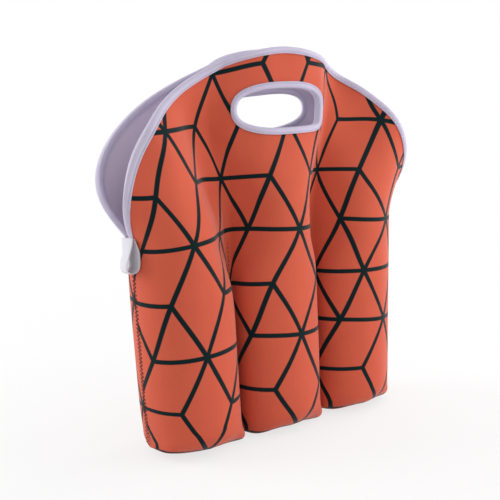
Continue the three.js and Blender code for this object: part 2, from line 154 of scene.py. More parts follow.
def formed(s, z, offset):
    """Points of the front panel at cloth position s, z, lifted off the lining face by offset."""
    s, z, offset = np.broadcast_arrays(*(np.asarray(v, float) for v in (s, z, offset)))
    spread = smooth(z, POCKET, POCKET + CENTRE_SPREAD)
    low = LOBE_BASE + (LOBE_SEAM - LOBE_BASE) * np.minimum(z / POCKET, 1.0)
    lobe = np.radians(low + (CENTRE_LOBE - LOBE_SEAM) * spread)
    side_lobe = np.radians(low + (SIDE_LOBE - LOBE_SEAM) * smooth(z, POCKET, POCKET + SIDE_SPREAD))
    flat = HALF * CREST_SHARE * smooth(z, POCKET, TOP)
    valley = (COLUMN_GAP + (FLAP_GAP - COLUMN_GAP) * spread) / 2
    span = HALF - flat
    ease = FLANK_EASE * smooth(z, *EASE_GROWS) * (1 - smooth(z, *EASE_FADES))
    steep, bends, depth = flank_of(lobe, span, ease)
    side_steep, side_bends, _ = flank_of(side_lobe, span, ease)
    crest = valley + depth
    left_shut = 1 - np.clip((z - POCKET) / LEFT_OPENING, 0.0, 1.0)
    right_shut = 1 - np.clip((z - POCKET) / RIGHT_OPENING, 0.0, 1.0)
    shut = np.where(s > 0, right_shut ** RIGHT_OPENING_POWER, left_shut ** LEFT_OPENING_POWER)
    side = np.maximum(np.pi / 2 * shut, LEAST_SIDE_TURN)
    seam_crest = COLUMN_GAP / 2 + flank_of(np.radians(LOBE_SEAM), HALF, FLANK_EASE)[2]
    closed = np.where(z > POCKET, seam_crest, crest) - SIDE_GAP / 2
    side_flat = (HALF - closed * np.pi / 2) * left_shut
    zero = np.zeros_like(lobe)
    # Stretches of cloth from the middle to a side seam: length, first slope and last slope
    stretches = [
        (flat, zero, zero),
        (bends - COLUMN_CLOTH, zero, steep),
        (span - bends, steep, steep),
        (zero + COLUMN_CLOTH, steep, zero),
        (zero + COLUMN_CLOTH, zero, -side_steep),
        (span - side_bends, -side_steep, -side_steep),
        (side_bends - COLUMN_CLOTH, -side_steep, zero),
        (flat + side_flat, zero, zero),
        (HALF - side_flat, zero, side),
    ]
    rest = np.abs(s)
    x, y, slope = zero.copy(), -crest, zero.copy()
    for index, (length, first, last) in enumerate(stretches):
        run = np.maximum(rest, 0.0)
        if index < len(stretches) - 1:
            run = np.minimum(run, length)
        bend = np.where(length > TINY, (last - first) / np.maximum(length, TINY), 0.0)
        end = first + bend * run
        straight = np.abs(bend) < TINY
        safe = np.where(straight, 1.0, bend)
        x = x + np.where(straight, np.cos(first) * run, (np.sin(end) - np.sin(first)) / safe)
        y = y + np.where(straight, np.sin(first) * run, (np.cos(first) - np.cos(end)) / safe)
        slope = np.where(rest > 0, end, slope)
        rest = rest - length
    x = x + offset * np.sin(slope)
    y = y - offset * np.cos(slope)
    climb = np.maximum(z - POCKET, 0.0) / FLAP
    sway = SWAY * climb ** SWAY_POWER * (1 - SWAY_HELD * smooth(np.abs(s), *SWAY_SIDES))
    return np.stack([np.sign(s) * x + sway, y, z], -1)


# Places where the flaps hang slack: depth, cloth position, height and the reach across and up
FRONT_SLACK = (
    (10.0, -97.0, 192.0, 22.0, 34.0), (9.0, -76.0, 245.0, 20.0, 30.0), (-7.0, -118.0, 240.0, 18.0, 30.0),
    (11.0, 92.0, 240.0, 28.0, 34.0), (6.0, -84.0, 150.0, 16.0, 22.0), (8.5, -84.0, 204.0, 13.0, 27.0),
    (3.0, -82.0, 245.0, 12.0, 25.0), (-4.5, -52.0, 248.0, 13.0, 48.0), (10.4, 75.8, 281.5, 18.9, 18.7),
    (-5.1, 123.0, 252.5, 21.0, 29.0), (-4.6, 47.0, 255.0, 14.0, 40.0),
)
REAR_SLACK = ((10.0, 26.0, 262.0, 42.0, 46.0), (-8.0, 57.4, 281.5, 24.0, 26.0))
# Where the rear flap sags: drop, cloth position, height and the reach across and up
REAR_SAG = ((6.5, -14.0, 264.0, 46.0, 26.0),)


def swells(s, z, places):
    """Sum of smooth swellings on the cloth."""
    return sum(amount * bell(s, place, across) * bell(z, height, up)
               for amount, place, height, across, up in places)


def slack(s, z, rear):
    """How a panel falls in towards the other one, and the rear one down."""
    depth = swells(s, z, REAR_SLACK if rear else FRONT_SLACK)
    drop = swells(s, z, REAR_SAG) if rear else np.zeros_like(depth)
    return np.stack([np.zeros_like(depth), depth, -drop], -1)


# Corners of the tubes' feet, and the places where a foot rides up beside its seam: cloth position and amount
EAR_PLACES = ((-HALF - 21.0, 1.0), (HALF - 21.0, 1.0), (SIDE - 22.0, 0.7), (-SIDE + 22.0, -0.5))
FOOT_LIFTS = ((-HALF + 18.0, 3.5), (HALF + 20.0, 3.5))
EAR_REACH, FOOT_LIFT_REACH = 8.0, 11.0
# Round of the cloth at the floor as a share of the tube's half depth, less in the corners
FLOOR_SHARE, FLOOR_LIMIT, EAR_TIGHTENS = 0.5, 0.8, 0.65
BASE_GAP = 0.15


def bumps(s, places, reach):
    return sum(amount * bell(s, place, reach) for place, amount in places)


def ears(s):
    """Where the tubes' feet are pinched into corners, and which way they point."""
    return bumps(s, EAR_PLACES, EAR_REACH)


def pocket(s, level, offset):
    """Points of the tubes: level 0 to 1 is the wall, 0 to -1 the turn at the floor, -2 the base line."""
    s, level, offset = np.broadcast_arrays(*(np.asarray(v, float) for v in (s, level, offset)))
    floor = WALL - offset
    foot = formed(s, floor, offset)
    reach = -foot[..., 1] - BASE_GAP
    lining_reach = -formed(s, WALL, 0.0)[..., 1] - BASE_GAP
    round_share = FLOOR_SHARE * (1 - EAR_TIGHTENS * np.abs(ears(s)))
    radius = np.minimum(round_share * lining_reach + offset, FLOOR_LIMIT * reach)
    climb = floor + radius + (POCKET - floor - radius) * np.clip(level, 0.0, 1.0)
    wall = formed(s, climb, offset)
    turn = np.clip(-level, 0.0, 1.0) * np.pi / 2
    foot[..., 1] += radius * (1 - np.cos(turn))
    foot[..., 2] = floor + radius * (1 - np.sin(turn))
    under = np.clip(-1 - level, 0.0, 1.0)
    foot[..., 1] += (-BASE_GAP - foot[..., 1]) * under
    down = radius * turn + np.maximum(reach - radius, 0.0) * under
    cloth = np.where(level > 0, climb, floor + radius - down)
    return np.where((level > 0)[..., None], wall, foot), cloth


# Curves of the flap's edge and of the slot, with one power for each of the slot's corners: right, high
EDGE_P, EDGE_Q = 1.79, 1.7
SLOT_HALF, SLOT_RISE, SLOT_CENTRE = 39.5, 16.0, 259.0
SLOT_POWERS = {(1, 1): 2.6, (-1, 1): 2.5, (-1, -1): 2.4, (1, -1): 8.0}
SLOT_SAMPLES = 4000


def edge_height(s):
    across = np.minimum(np.abs(s) / SIDE, 1.0)
    return POCKET + FLAP * (1 - across ** EDGE_P) ** (1 / EDGE_Q)


def edge_points(turns):
    """Points of the flap's edge and their outward directions; turn 0 is the right foot, pi the left one."""
    c, n = np.cos(turns), np.maximum(np.sin(turns), 0.0)
    s = SIDE * np.sign(c) * np.abs(c) ** (2 / EDGE_P)
    z = POCKET + FLAP * n ** (2 / EDGE_Q)
    ds = EDGE_P * np.sign(s) * (np.abs(s) / SIDE) ** (EDGE_P - 1) / SIDE
    dz = EDGE_Q * ((z - POCKET) / FLAP) ** (EDGE_Q - 1) / FLAP
    return np.stack([s, z], -1), unit(np.stack([ds, dz], -1))


def slot_points(turns):
    """Points of the slot's edge and their directions into the slot; its lower right corner is squarest."""
    found, inward = [], []
    for turn in turns:
        c, n = math.cos(turn), math.sin(turn)
        right, high = (1 if c >= 0 else -1), (1 if n >= 0 else -1)
        power = SLOT_POWERS[right, high]
        s = SLOT_HALF * right * abs(c) ** (2 / power)
        rise = SLOT_RISE * high * abs(n) ** (2 / power)
        ds = right * (abs(s) / SLOT_HALF) ** (power - 1) / SLOT_HALF
        dz = high * (abs(rise) / SLOT_RISE) ** (power - 1) / SLOT_RISE
        found.append((s, SLOT_CENTRE + rise))
        inward.append((-ds, -dz))
    return np.array(found), unit(np.array(inward))


def slot_ring(count):
    """Evenly spaced points of the slot's edge and their directions into the slot."""
    points, inward = slot_points(np.linspace(0, TURN, SLOT_SAMPLES + 1))
    lengths = run_lengths(points)
    places = np.linspace(0, lengths[-1], count + 1)[:-1]
    return along(places, lengths, points), unit(along(places, lengths, inward))


def slot_height(s, high):
    power = SLOT_POWERS[(1 if s >= 0 else -1), high]
    share = min(abs(s) / SLOT_HALF, 1.0)
    return SLOT_CENTRE + high * SLOT_RISE * (1 - share ** power) ** (1 / power)


# Meshes

def new_object(name, points, faces, material):
    mesh = bpy.data.meshes.new(name)
    mesh.from_pydata([tuple(p) for p in points * MM], [], faces)
    mesh.validate()
    mesh.update()
    mesh.polygons.foreach_set("use_smooth", [True] * len(mesh.polygons))
    mesh.materials.append(material)
    obj = bpy.data.objects.new(name, mesh)
    bpy.context.scene.collection.objects.link(obj)
    return obj


def give_map(obj, cloth):
    """Writes each point's place on the flat cloth, in metres, as the piece's map."""
    layer = obj.data.uv_layers.new(name="cloth")
    corners = np.empty(len(obj.data.loops), np.int32)
    obj.data.loops.foreach_get("vertex_index", corners)
    layer.data.foreach_set("uv", (cloth[corners] * MM).astype(np.float32).ravel())


def reversed_faces(faces):
    return [tuple(reversed(face)) for face in faces]


def skin_faces(faces, count):
    """Faces of a sheet's outer skin, of its inner one, whose points come count later, and of the rim."""
    edges = dict.fromkeys((face[k - 1], v) for face in faces for k, v in enumerate(face))
    inner = [tuple(v + count for v in face) for face in reversed_faces(faces)]
    rim = [(b, a, a + count, b + count) for a, b in edges if (b, a) not in edges]
    return list(faces) + inner + rim


def tube_faces(stations, sides, closed=False):
    """Faces of a tube of rings, with its ends shut unless it closes on itself."""
    faces = []
    for i in range(stations if closed else stations - 1):
        a, b = i * sides, (i + 1) % stations * sides
        for k in range(sides):
            m = (k + 1) % sides
            faces.append((a + k, b + k, b + m, a + m))
    if not closed:
        faces.append(tuple(range(sides)))
        faces.append(tuple(reversed(range((stations - 1) * sides, stations * sides))))
    return faces


# Points of a panel: counts of columns and rows, and how close the columns lie
SLOT_COLUMNS, OUTER_COLUMNS = 14, 52
BASE_ROWS, FLOOR_ROWS, WALL_ROWS = 5, 7, 41
LOWER_ROWS, UPPER_ROWS = 26, 12
COLUMN_SAMPLES = 4000
PLAIN_DENSITY, SEAM_DENSITY, SEAM_REACH = 0.22, 0.32, 9.0
SLOPE_DENSITY, SLOPE_LIMIT = 0.17, 6.0
# Cloth past the side seam, the level that marks a point of the flap, and what counts as the same place
SIDE_LAP = 0.5
FLAP_LEVEL = 2.0
NEAR, KEY_DIGITS = 1e-3, 5


class Cloth:
    """Points of a panel on the flat cloth, by s and a level on the tubes or z on the flap, and faces."""

    def __init__(self):
        self.keys = {}
        self.rows = []
        self.faces = []

    def point(self, s, level, z):
        key = tuple(round(v, KEY_DIGITS) for v in (s, level, z))
        if key not in self.keys:
            self.keys[key] = len(self.rows)
            self.rows.append((s, level, z))
        return self.keys[key]

    def block(self, columns):
        for left, right in zip(columns, columns[1:]):
            for i in range(len(left) - 1):
                ring = [left[i], right[i], right[i + 1], left[i + 1]]
                face = [v for k, v in enumerate(ring) if v != ring[k - 1]]
                if len(set(face)) == len(face) and len(face) > 2:
                    self.faces.append(tuple(face))


def panel_columns():
    """Cloth positions of the columns of points, closer together where the cloth bends."""
    fine = np.linspace(SLOT_HALF, SIDE, COLUMN_SAMPLES)
    slope = np.abs(np.gradient(edge_height(fine), fine))
    density = PLAIN_DENSITY + SEAM_DENSITY * bell(fine, HALF, SEAM_REACH)
    density += SLOPE_DENSITY * np.minimum(slope, SLOPE_LIMIT)
    total = np.concatenate([[0], np.cumsum((density[1:] + density[:-1]) / 2 * np.diff(fine))])
    outer = np.interp(np.linspace(0, total[-1], OUTER_COLUMNS + 1), total, fine)
    turns = np.linspace(0, np.pi / 2, SLOT_COLUMNS + 1)
    inner = SLOT_HALF * np.sin(turns) ** (2 / SLOT_POWERS[1, 1])
    half = np.concatenate([inner, outer[1:], [SIDE + SIDE_LAP]])
    return np.concatenate([-half[:0:-1], half])


def panel_cloth():
    """Rows of a panel's points and its faces: the tubes, and the flap below and above the slot's middle."""
    cloth = Cloth()
    levels = np.concatenate([
        np.linspace(-2, -1, BASE_ROWS + 1),
        np.linspace(-1, 0, FLOOR_ROWS + 1)[1:],
        np.linspace(0, 1, WALL_ROWS + 1)[1:],
    ])
    share = (SLOT_CENTRE - POCKET) / (edge_height(SLOT_HALF) - POCKET)
    pockets, lowers, uppers = [], [], []
    for s in panel_columns():
        s = float(s)
        tube = [cloth.point(s, level, 0.0) for level in levels]
        pockets.append(tube)
        edge = float(edge_height(s))
        if abs(s) < SLOT_HALF - NEAR:
            low, high = slot_height(s, -1), slot_height(s, 1)
        else:
            low = high = POCKET + (edge - POCKET) * share
        lower = np.linspace(POCKET, low, LOWER_ROWS + 1)
        upper = np.linspace(high, edge, UPPER_ROWS + 1)
        for columns, heights in ((lowers, lower), (uppers, upper)):
            columns.append([
                cloth.point(s, FLAP_LEVEL, z) if z > POCKET + NEAR else tube[-1]
                for z in heights
            ])
    for columns in (pockets, lowers, uppers):
        cloth.block(columns)
    return np.array(cloth.rows), cloth.faces


def shape_of(rows, offset):
    """Points of a panel's rows at one offset, and the flat cloth's height at each."""
    s, level, z = rows.T
    low, height = pocket(s, np.minimum(level, 1.0), offset)
    flap = formed(s, np.maximum(z, POCKET), offset)
    is_flap = level == FLAP_LEVEL
    return np.where(is_flap[:, None], flap, low), np.where(is_flap, z, height)


# Puckers beside the column seams and the side seams: height, pitch and reach
PUCKER, PUCKER_PITCH, PUCKER_REACH = 0.35, 9.5, 5.0
SIDE_PUCKER, SIDE_PUCKER_PITCH, SIDE_PUCKER_REACH = 0.18, 6.2, 6.0
# Slow waves of the cloth on the tubes, and short ones round the middle of their feet
WAVE, WAVE_ACROSS, WAVE_START, WAVE_UP, WAVE_DRIFT = 0.45, 23.0, 0.6, 31.0, 90.0
FOOT_WAVE, FOOT_WAVE_ACROSS, FOOT_WAVE_START = 0.5, 4.4, 1.0
FOOT_WAVE_HEIGHT, FOOT_WAVE_RISE, FOOT_WAVE_REACH = 4.0, 14.0, 34.0
TUBES_FADE = (POCKET - 20.0, POCKET + 30.0)
# Fuller flanks of the centre tube and inner flanks of the side tubes: swelling, place and reach
FULL, FULL_PLACE, FULL_REACH = 2.6, 32.0, 15.0
FULL_FADES = (POCKET - 40.0, POCKET + 40.0)
SIDE_FULL, SIDE_FULL_PLACE, SIDE_FULL_REACH = 1.5, HALF + 24.0, 13.0
SIDE_FULL_FADES = (POCKET - 75.0, POCKET - 10.0)


def ripple(s, height):
    """Small swellings and puckers of the sewn cloth, outwards from its plain shape, in millimetres."""
    a = np.abs(s)
    tubes = 1 - smooth(height, *TUBES_FADE)
    puckers = PUCKER * (1 + np.sin(height * TURN / PUCKER_PITCH + np.sign(s)))
    puckers *= bell(a, HALF + PUCKER_REACH, PUCKER_REACH)
    side = SIDE_PUCKER * (1 + np.sin(height * TURN / SIDE_PUCKER_PITCH)) * bell(a, SIDE, SIDE_PUCKER_REACH)
    soft = WAVE * np.sin(s / WAVE_ACROSS + WAVE_START) * np.sin(height / WAVE_UP + s / WAVE_DRIFT)
    foot = FOOT_WAVE * np.sin(s / FOOT_WAVE_ACROSS + FOOT_WAVE_START)
    foot *= bell(height, FOOT_WAVE_HEIGHT, FOOT_WAVE_RISE) * bell(a % TUBE, 0.0, FOOT_WAVE_REACH)
    full = FULL * bell(a, FULL_PLACE, FULL_REACH) * (1 - smooth(height, *FULL_FADES))
    side_full = SIDE_FULL * bell(a, SIDE_FULL_PLACE, SIDE_FULL_REACH) * (1 - smooth(height, *SIDE_FULL_FADES))
    return (puckers + side + soft) * tubes + foot + full + side_full


# Moves of the feet: how far, and how high up or far in they reach
EAR, CORNER_RISE = 3.5, 9.0
LEFT_LIFT, RIGHT_LIFT, BASE_RISE, END_PULL = 8.0, 2.0, 2.8, 1.5
FOOT_RISE, END_REACH, BASE_REACH = 26.0, 52.0, 24.0


def settle(points, s):
    """Moves of the cloth at the floor: corners beside the seams, and places that ride up."""
    corner = bell(points[:, 2], 0.0, CORNER_RISE)
    low = bell(points[:, 2], 0.0, FOOT_RISE)
    ends = smooth(np.abs(s), SIDE - END_REACH, SIDE)
    base = np.minimum(np.abs(points[:, 1]) / BASE_REACH, 1.0) ** 2
    lift = np.where(s < 0, LEFT_LIFT, RIGHT_LIFT) * ends
    move = np.zeros_like(points)
    move[:, 0] = EAR * ears(s) * corner - END_PULL * np.sign(s) * ends * low
    move[:, 2] = (lift + BASE_RISE * base + bumps(s, FOOT_LIFTS, FOOT_LIFT_REACH)) * low
    return move


# Where the print sits off its regular lattice on the front panel: cloth position, height, shift across and up
PRINT_PULLS = (
    (-60, 286, 3.6, 3.9), (-19, 293, 2.3, -3.5), (24, 293, -1.5, -3.2), (57, 289, 6.8, 1.1),
    (-111, 247, -5.1, 1.4), (-76, 248, -0.4, 0.0), (75, 247, 8.3, 1.5), (114, 245, 8.8, 2.2),
    (-138, 202, 1.4, 5.0), (-99, 208, 2.4, -1.7), (-57, 208, 1.2, -1.0), (-16, 209, -0.3, -2.7),
    (97, 206, 5.7, 0.2), (-157, 162, 1.2, 3.3), (-119, 165, 2.7, -0.2), (-34, 169, -2.6, -3.9),
    (5, 167, -1.6, -1.8), (86, 168, -3.5, -2.7), (128, 164, -6.0, 1.4), (-138, 122, 1.7, 1.3),
    (-95, 126, -1.0, -2.1), (-18, 127, 0.9, -2.9), (28, 123, -5.0, 1.0), (-154, 80, -2.0, 2.4),
    (-33, 86, -3.5, -3.6), (86, 84, -3.4, -2.0), (126, 80, -3.0, 2.6), (-136, 39, 0.1, 1.5),
    (26, 36, -3.3, 5.0), (-18, 41, 1.8, 0.0), (68, 268, 3.7, 0.7), (106, 225, 6.4, 2.8),
    (101, 265, 12.6, 5.3), (131, 241, 6.3, 8.7),
)
PULL_REACH, PULL_EASE = 32.0, 0.1
# The rear panel's print starts at another place of the lattice
REAR_PRINT_SHIFT = 17.0


def print_pull(places):
    """Smooth shift of the print over the front panel."""
    table = np.array(PRINT_PULLS)

    def near(points):
        apart = (points[:, None, :] - table[None, :, :2]) / PULL_REACH
        return np.exp(-(apart ** 2).sum(-1))

    weights = np.linalg.solve(near(table[:, :2]) + PULL_EASE * np.eye(len(table)), table[:, 2:])
    return near(places) @ weights


def sheet(name, rows, faces, inside, outside, material, rear):
    """One layer of a panel, between two offsets from the lining's face."""
    s = rows[:, 0]
    outer, height = shape_of(rows, outside)
    inner, _ = shape_of(rows, inside)
    move = settle(shape_of(rows, WALL)[0], s) + slack(s, height, rear)
    lift = unit(outer - inner) * ripple(s, height)[:, None]
    outer, inner = outer + move + lift, inner + move + lift
    outer[:, 2] = np.maximum(outer[:, 2], 0.0)
    points = np.concatenate([outer, inner])
    solid = skin_faces(faces, len(rows))
    flat = np.stack([s, height], -1)
    if rear:
        points, solid = points * MIRROR, reversed_faces(solid)
        flat = flat * (-1, 1) + (REAR_PRINT_SHIFT, 0)
    else:
        flat = flat + print_pull(flat)
    obj = new_object(name, points, solid, material)
    give_map(obj, np.concatenate([flat, flat]))
    return obj


# Tape folded round a cloth edge: its leg on the cloth, its gap to the cloth and its thickness
LEG = 4.0
TAPE_NEAR, TAPE_THICK = 0.35, 0.85
TAPE_FAR = TAPE_NEAR + TAPE_THICK
CAP_START, CAP_POWER, CAP_STEPS = LEG - 0.4, 0.75, 8
# Its skin with the stitched groove: distance from the tape's inner line, and height over its plain face
TAPE_SKIN = (
    (0.0, -0.55), (0.2, -0.1), (0.65, 0.0), (1.0, -0.35),
    (1.4, -0.35), (1.9, 0.1), (2.9, 0.2), (CAP_START, 0.0),
)
# Least height of the tape over the tubes' top
TAPE_CLEAR = 0.2
# Edge tape: share of its inner leaf's offset that is left at the foot, and the rise to the full offset
FOOT_SQUEEZE, SQUEEZE_RISE = 0.15, 14.0
# Turn of the edge at which the edge tape starts, and the tapes' counts of stations
EDGE_FOOT, EDGE_STATIONS, SLOT_STATIONS = 0.03, 150, 128


def tape_profile():
    """Section of the folded tape: distance past its inner line and offset, its skin before its inside."""
    skin = [(past, WALL + TAPE_FAR + height) for past, height in TAPE_SKIN]
    middle, half = WALL / 2, WALL / 2 + TAPE_FAR
    cap = []
    for turn in np.linspace(0, np.pi, CAP_STEPS + 1)[1:-1]:
        past = CAP_START + (LEG + TAPE_FAR - CAP_START) * math.sin(turn) ** CAP_POWER
        rise = math.copysign(abs(math.cos(turn)) ** CAP_POWER, math.cos(turn))
        cap.append((past, middle + half * rise))
    other = [(past, WALL - offset) for past, offset in reversed(skin)]
    fold = LEG + TAPE_NEAR
    inside = [(0.0, -TAPE_NEAR), (fold, -TAPE_NEAR), (fold, WALL + TAPE_NEAR), (0.0, WALL + TAPE_NEAR)]
    return np.array(skin + cap + other + inside)


def sweep_tape(name, edges, outward, closed, material, rear, squeeze=None):
    """Tape round a cloth edge: edges are cloth points, outward the directions out of the cloth there."""
    profile = tape_profile()
    sides, stations = len(profile), len(edges)
    cloth = edges[:, None, :] + outward[:, None, :] * (profile[:, 0] - LEG)[None, :, None]
    offset = np.broadcast_to(profile[:, 1], (stations, sides))
    if squeeze is not None:
        offset = np.where(offset < 0, offset * squeeze[:, None], offset)
    s, z = cloth[..., 0], cloth[..., 1]
    points = formed(s, np.maximum(z, POCKET + TAPE_CLEAR), offset) + slack(s, z, rear)
    points = points.reshape(-1, 3)
    faces = tube_faces(stations, sides, closed)
    if rear:
        points, faces = points * MIRROR, reversed_faces(faces)
    obj = new_object(name, points, faces, material)
    flat = np.broadcast_arrays(run_lengths(edges)[:, None], np.arange(1.0, sides + 1))
    give_map(obj, np.stack(flat, -1).reshape(-1, 2))
    return obj


# A stitch: share of its length, lift and width in thread radii
STITCH_STATIONS = (
    (0.0, -0.7, 0.5), (0.14, 0.45, 0.95), (0.5, 0.85, 1.0), (0.86, 0.45, 0.95), (1.0, -0.7, 0.5),
)
STITCH_SIDES = 6


def stitches(name, starts, ends, normals, radius, material):
    """Short threads that dip into the cloth at both ends."""
    reach = ends - starts
    ahead = unit(reach)
    normals = unit(normals - (normals * ahead).sum(1)[:, None] * ahead)
    across = np.cross(ahead, normals)
    turns = np.arange(STITCH_SIDES) * TURN / STITCH_SIDES
    tube = tube_faces(len(STITCH_STATIONS), STITCH_SIDES)
    points, faces = [], []
    for n in range(len(starts)):
        base = len(points)
        faces += [tuple(base + v for v in face) for face in tube]
        for share, lift, width in STITCH_STATIONS:
            middle = starts[n] + reach[n] * share + normals[n] * (lift * radius)
            for turn in turns:
                way = math.cos(turn) * normals[n] + math.sin(turn) * across[n]
                points.append(middle + radius * width * way)
    return new_object(name, np.array(points), faces, material)


# Materials

SPECULAR, SHEEN_ROUGHNESS = 0.12, 0.3
NOISE_DETAIL = 2.0
ROUGH_SPREAD = 0.14


class Nodes:
    """Small helper for a tree of nodes."""

    def __init__(self, tree):
        self.tree = tree

    def feed(self, socket, value):
        if isinstance(value, bpy.types.NodeSocket):
            self.tree.links.new(value, socket)
        else:
            socket.default_value = value

    def node(self, kind, sockets=None, **settings):
        """A new node with its settings and with what goes into its sockets, each a number or an output."""
        node = self.tree.nodes.new(kind)
        for key, value in settings.items():
            setattr(node, key, value)
        for key, value in (sockets or {}).items():
            self.feed(node.inputs[key], value)
        return node

    def math(self, operation, *values):
        return self.node("ShaderNodeMath", dict(enumerate(values)), operation=operation).outputs[0]

    def ramp(self, value, low, high, first, last, kind="LINEAR"):
        """First while value is up to low, last from high on, and a ramp between them."""
        sockets = dict(enumerate((value, low, high, first, last)))
        return self.node("ShaderNodeMapRange", sockets, interpolation_type=kind, clamp=True).outputs[0]


class Fabric(Nodes):
    """A material of nodes on one principled shader."""

    def __init__(self, name, sheen):
        self.material = bpy.data.materials.new(name)
        self.material.use_nodes = True
        super().__init__(self.material.node_tree)
        self.shader = self.tree.nodes["Principled BSDF"]
        self.shader.inputs["Sheen Weight"].default_value = sheen
        self.shader.inputs["Sheen Roughness"].default_value = SHEEN_ROUGHNESS
        self.shader.inputs["Specular IOR Level"].default_value = SPECULAR

    def mix(self, factor, a, b):
        """Colours a and b mixed: the node's sockets 6 and 7 and its output 2 are the ones for colours."""
        return self.node("ShaderNodeMix", {0: factor, 6: a, 7: b}, data_type="RGBA").outputs[2]

    def cloth(self):
        """Place on the flat cloth in millimetres."""
        source = self.node("ShaderNodeUVMap", uv_map="cloth")
        split = self.node("ShaderNodeSeparateXYZ", {0: source.outputs[0]})
        return [self.math("MULTIPLY", split.outputs[k], 1 / MM) for k in (0, 1)]

    def noise(self, scale):
        place = self.node("ShaderNodeTexCoord").outputs["Object"]
        sockets = {"Vector": place, "Scale": scale, "Detail": NOISE_DETAIL}
        return self.node("ShaderNodeTexNoise", sockets).outputs[0]

    def colour(self, value):
        self.feed(self.shader.inputs["Base Color"], value)

    def rough(self, value):
        self.feed(self.shader.inputs["Roughness"], value)

    def uneven_rough(self, least, scale):
        self.rough(self.math("ADD", least, self.math("MULTIPLY", self.noise(scale), ROUGH_SPREAD)))

    def bump(self, height, strength, distance):
        node = self.node("ShaderNodeBump", {"Height": height, "Strength": strength, "Distance": distance})
        self.feed(self.shader.inputs["Normal"], node.outputs[0])


# Lean of the knit's loops, in courses for each wale
LOOP_LEAN = 1.4


def knit_height(graph, s, z, wale, course):
    """Height of a fine jersey knit: rows of small V-shaped loops."""
    across = graph.math("DIVIDE", s, wale)
    lean = graph.math("ABSOLUTE", graph.math("SUBTRACT", graph.math("FRACT", across), 0.5))
    climb = graph.math("ADD", graph.math("DIVIDE", z, course), graph.math("MULTIPLY", lean, LOOP_LEAN))
    loops = graph.math("SINE", graph.math("MULTIPLY", climb, TURN))
    columns = graph.math("COSINE", graph.math("MULTIPLY", across, TURN))
    return graph.math("MULTIPLY", graph.math("ADD", loops, columns), 0.5)


# Print: the lattice's pitch, row and one of its corners, and the lines' half width and soft edge
LATTICE_PITCH, LATTICE_ROW = 39.8, 41.55
LATTICE_S, LATTICE_Z = -36.6, 165.25
LINE_HALF, LINE_SOFT = 1.75, 0.5
# Rule of the print: its repeats, and which line of a repeat is left open
REPEAT, RISE_REPEAT = 3.0, 6.0
OPEN_LEVEL, OPEN_FALL, OPEN_RISE, OPEN_RISE_ROW = 2.0, 2.0, 0.0, 2.0
# Single lines that the print keeps or leaves open against its rule: column or fall, and row
KEPT_LEVELS = ((-1, 0), (4, -1), (3, -2))
KEPT_FALLS = ((3, -1),)
OPEN_FALLS = ((-3, 0),)


def lattice_mask(graph, s, z):
    """Lines of a rhombus tiling on a triangular lattice, with most rhombuses cut in half by a rising line."""
    v = graph.math("DIVIDE", graph.math("SUBTRACT", z, LATTICE_Z), LATTICE_ROW)
    across = graph.math("DIVIDE", graph.math("SUBTRACT", s, LATTICE_S), LATTICE_PITCH)
    u = graph.math("SUBTRACT", across, graph.math("MULTIPLY", v, 0.5))
    w = graph.math("ADD", u, v)
    lean = LATTICE_PITCH * LATTICE_ROW / math.hypot(LATTICE_ROW, LATTICE_PITCH / 2)

    def nearest(value):
        return graph.math("FLOOR", graph.math("ADD", value, 0.5))

    def line(value, scale):
        off = graph.math("ABSOLUTE", graph.math("SUBTRACT", value, nearest(value)))
        distance = graph.math("MULTIPLY", off, scale)
        return graph.ramp(distance, LINE_HALF - LINE_SOFT / 2, LINE_HALF + LINE_SOFT / 2, 1.0, 0.0)

    def is_value(value, wanted):
        return graph.math("COMPARE", value, wanted, 0.5)

    def repeats(value, period, wanted):
        return is_value(graph.math("FLOORED_MODULO", value, period), wanted)

    def either(first, second):
        return graph.math("MAXIMUM", first, second)

    def both(first, second):
        return graph.math("MULTIPLY", first, second)

    def leave_out(mask, where):
        return both(mask, graph.math("SUBTRACT", 1.0, where))

    def at_any(places, first, second):
        found = 0.0
        for wanted, wanted_row in places:
            found = either(found, both(is_value(first, wanted), is_value(second, wanted_row)))
        return found

    column, row, fall = graph.math("FLOOR", u), graph.math("FLOOR", v), nearest(w)
    level_row = nearest(v)
    open_levels = repeats(graph.math("SUBTRACT", column, level_row), REPEAT, OPEN_LEVEL)
    open_levels = leave_out(open_levels, at_any(KEPT_LEVELS, column, level_row))
    open_falls = repeats(graph.math("ADD", fall, row), REPEAT, OPEN_FALL)
    open_falls = leave_out(open_falls, at_any(KEPT_FALLS, fall, row))
    open_falls = either(open_falls, at_any(OPEN_FALLS, fall, row))
    open_rises = repeats(graph.math("SUBTRACT", nearest(u), row), REPEAT, OPEN_RISE)
    open_rises = both(open_rises, repeats(row, RISE_REPEAT, OPEN_RISE_ROW))
    levels = leave_out(line(v, LATTICE_ROW), open_levels)
    rising = leave_out(line(u, lean), open_rises)
    falling = leave_out(line(w, lean), open_falls)
    return either(either(levels, rising), falling)


# Colours, each a lighter and a darker one that are mixed in patches
PRINT_GROUND = ((0.67, 0.120, 0.066, 1), (0.61, 0.106, 0.058, 1))
PRINT_LINES = (0.001, 0.013, 0.015, 1)
# The lining's colours are painted lighter than the tape's: painted light that makes up for the shade inside
# the bag
LINING_COLOURS_PAINTED_LIGHTER = ((0.75, 0.67, 0.80, 1), (0.69, 0.61, 0.74, 1))
TAPE_COLOURS = ((0.66, 0.60, 0.75, 1), (0.58, 0.53, 0.68, 1))
RIBBON_COLOURS = ((0.72, 0.71, 0.76, 1), (0.66, 0.65, 0.70, 1))
TAPE_THREAD_COLOURS = ((0.70, 0.66, 0.80, 1), (0.58, 0.53, 0.68, 1))
SEAM_THREAD_COLOURS = ((0.10, 0.022, 0.018, 1), (0.05, 0.014, 0.013, 1))


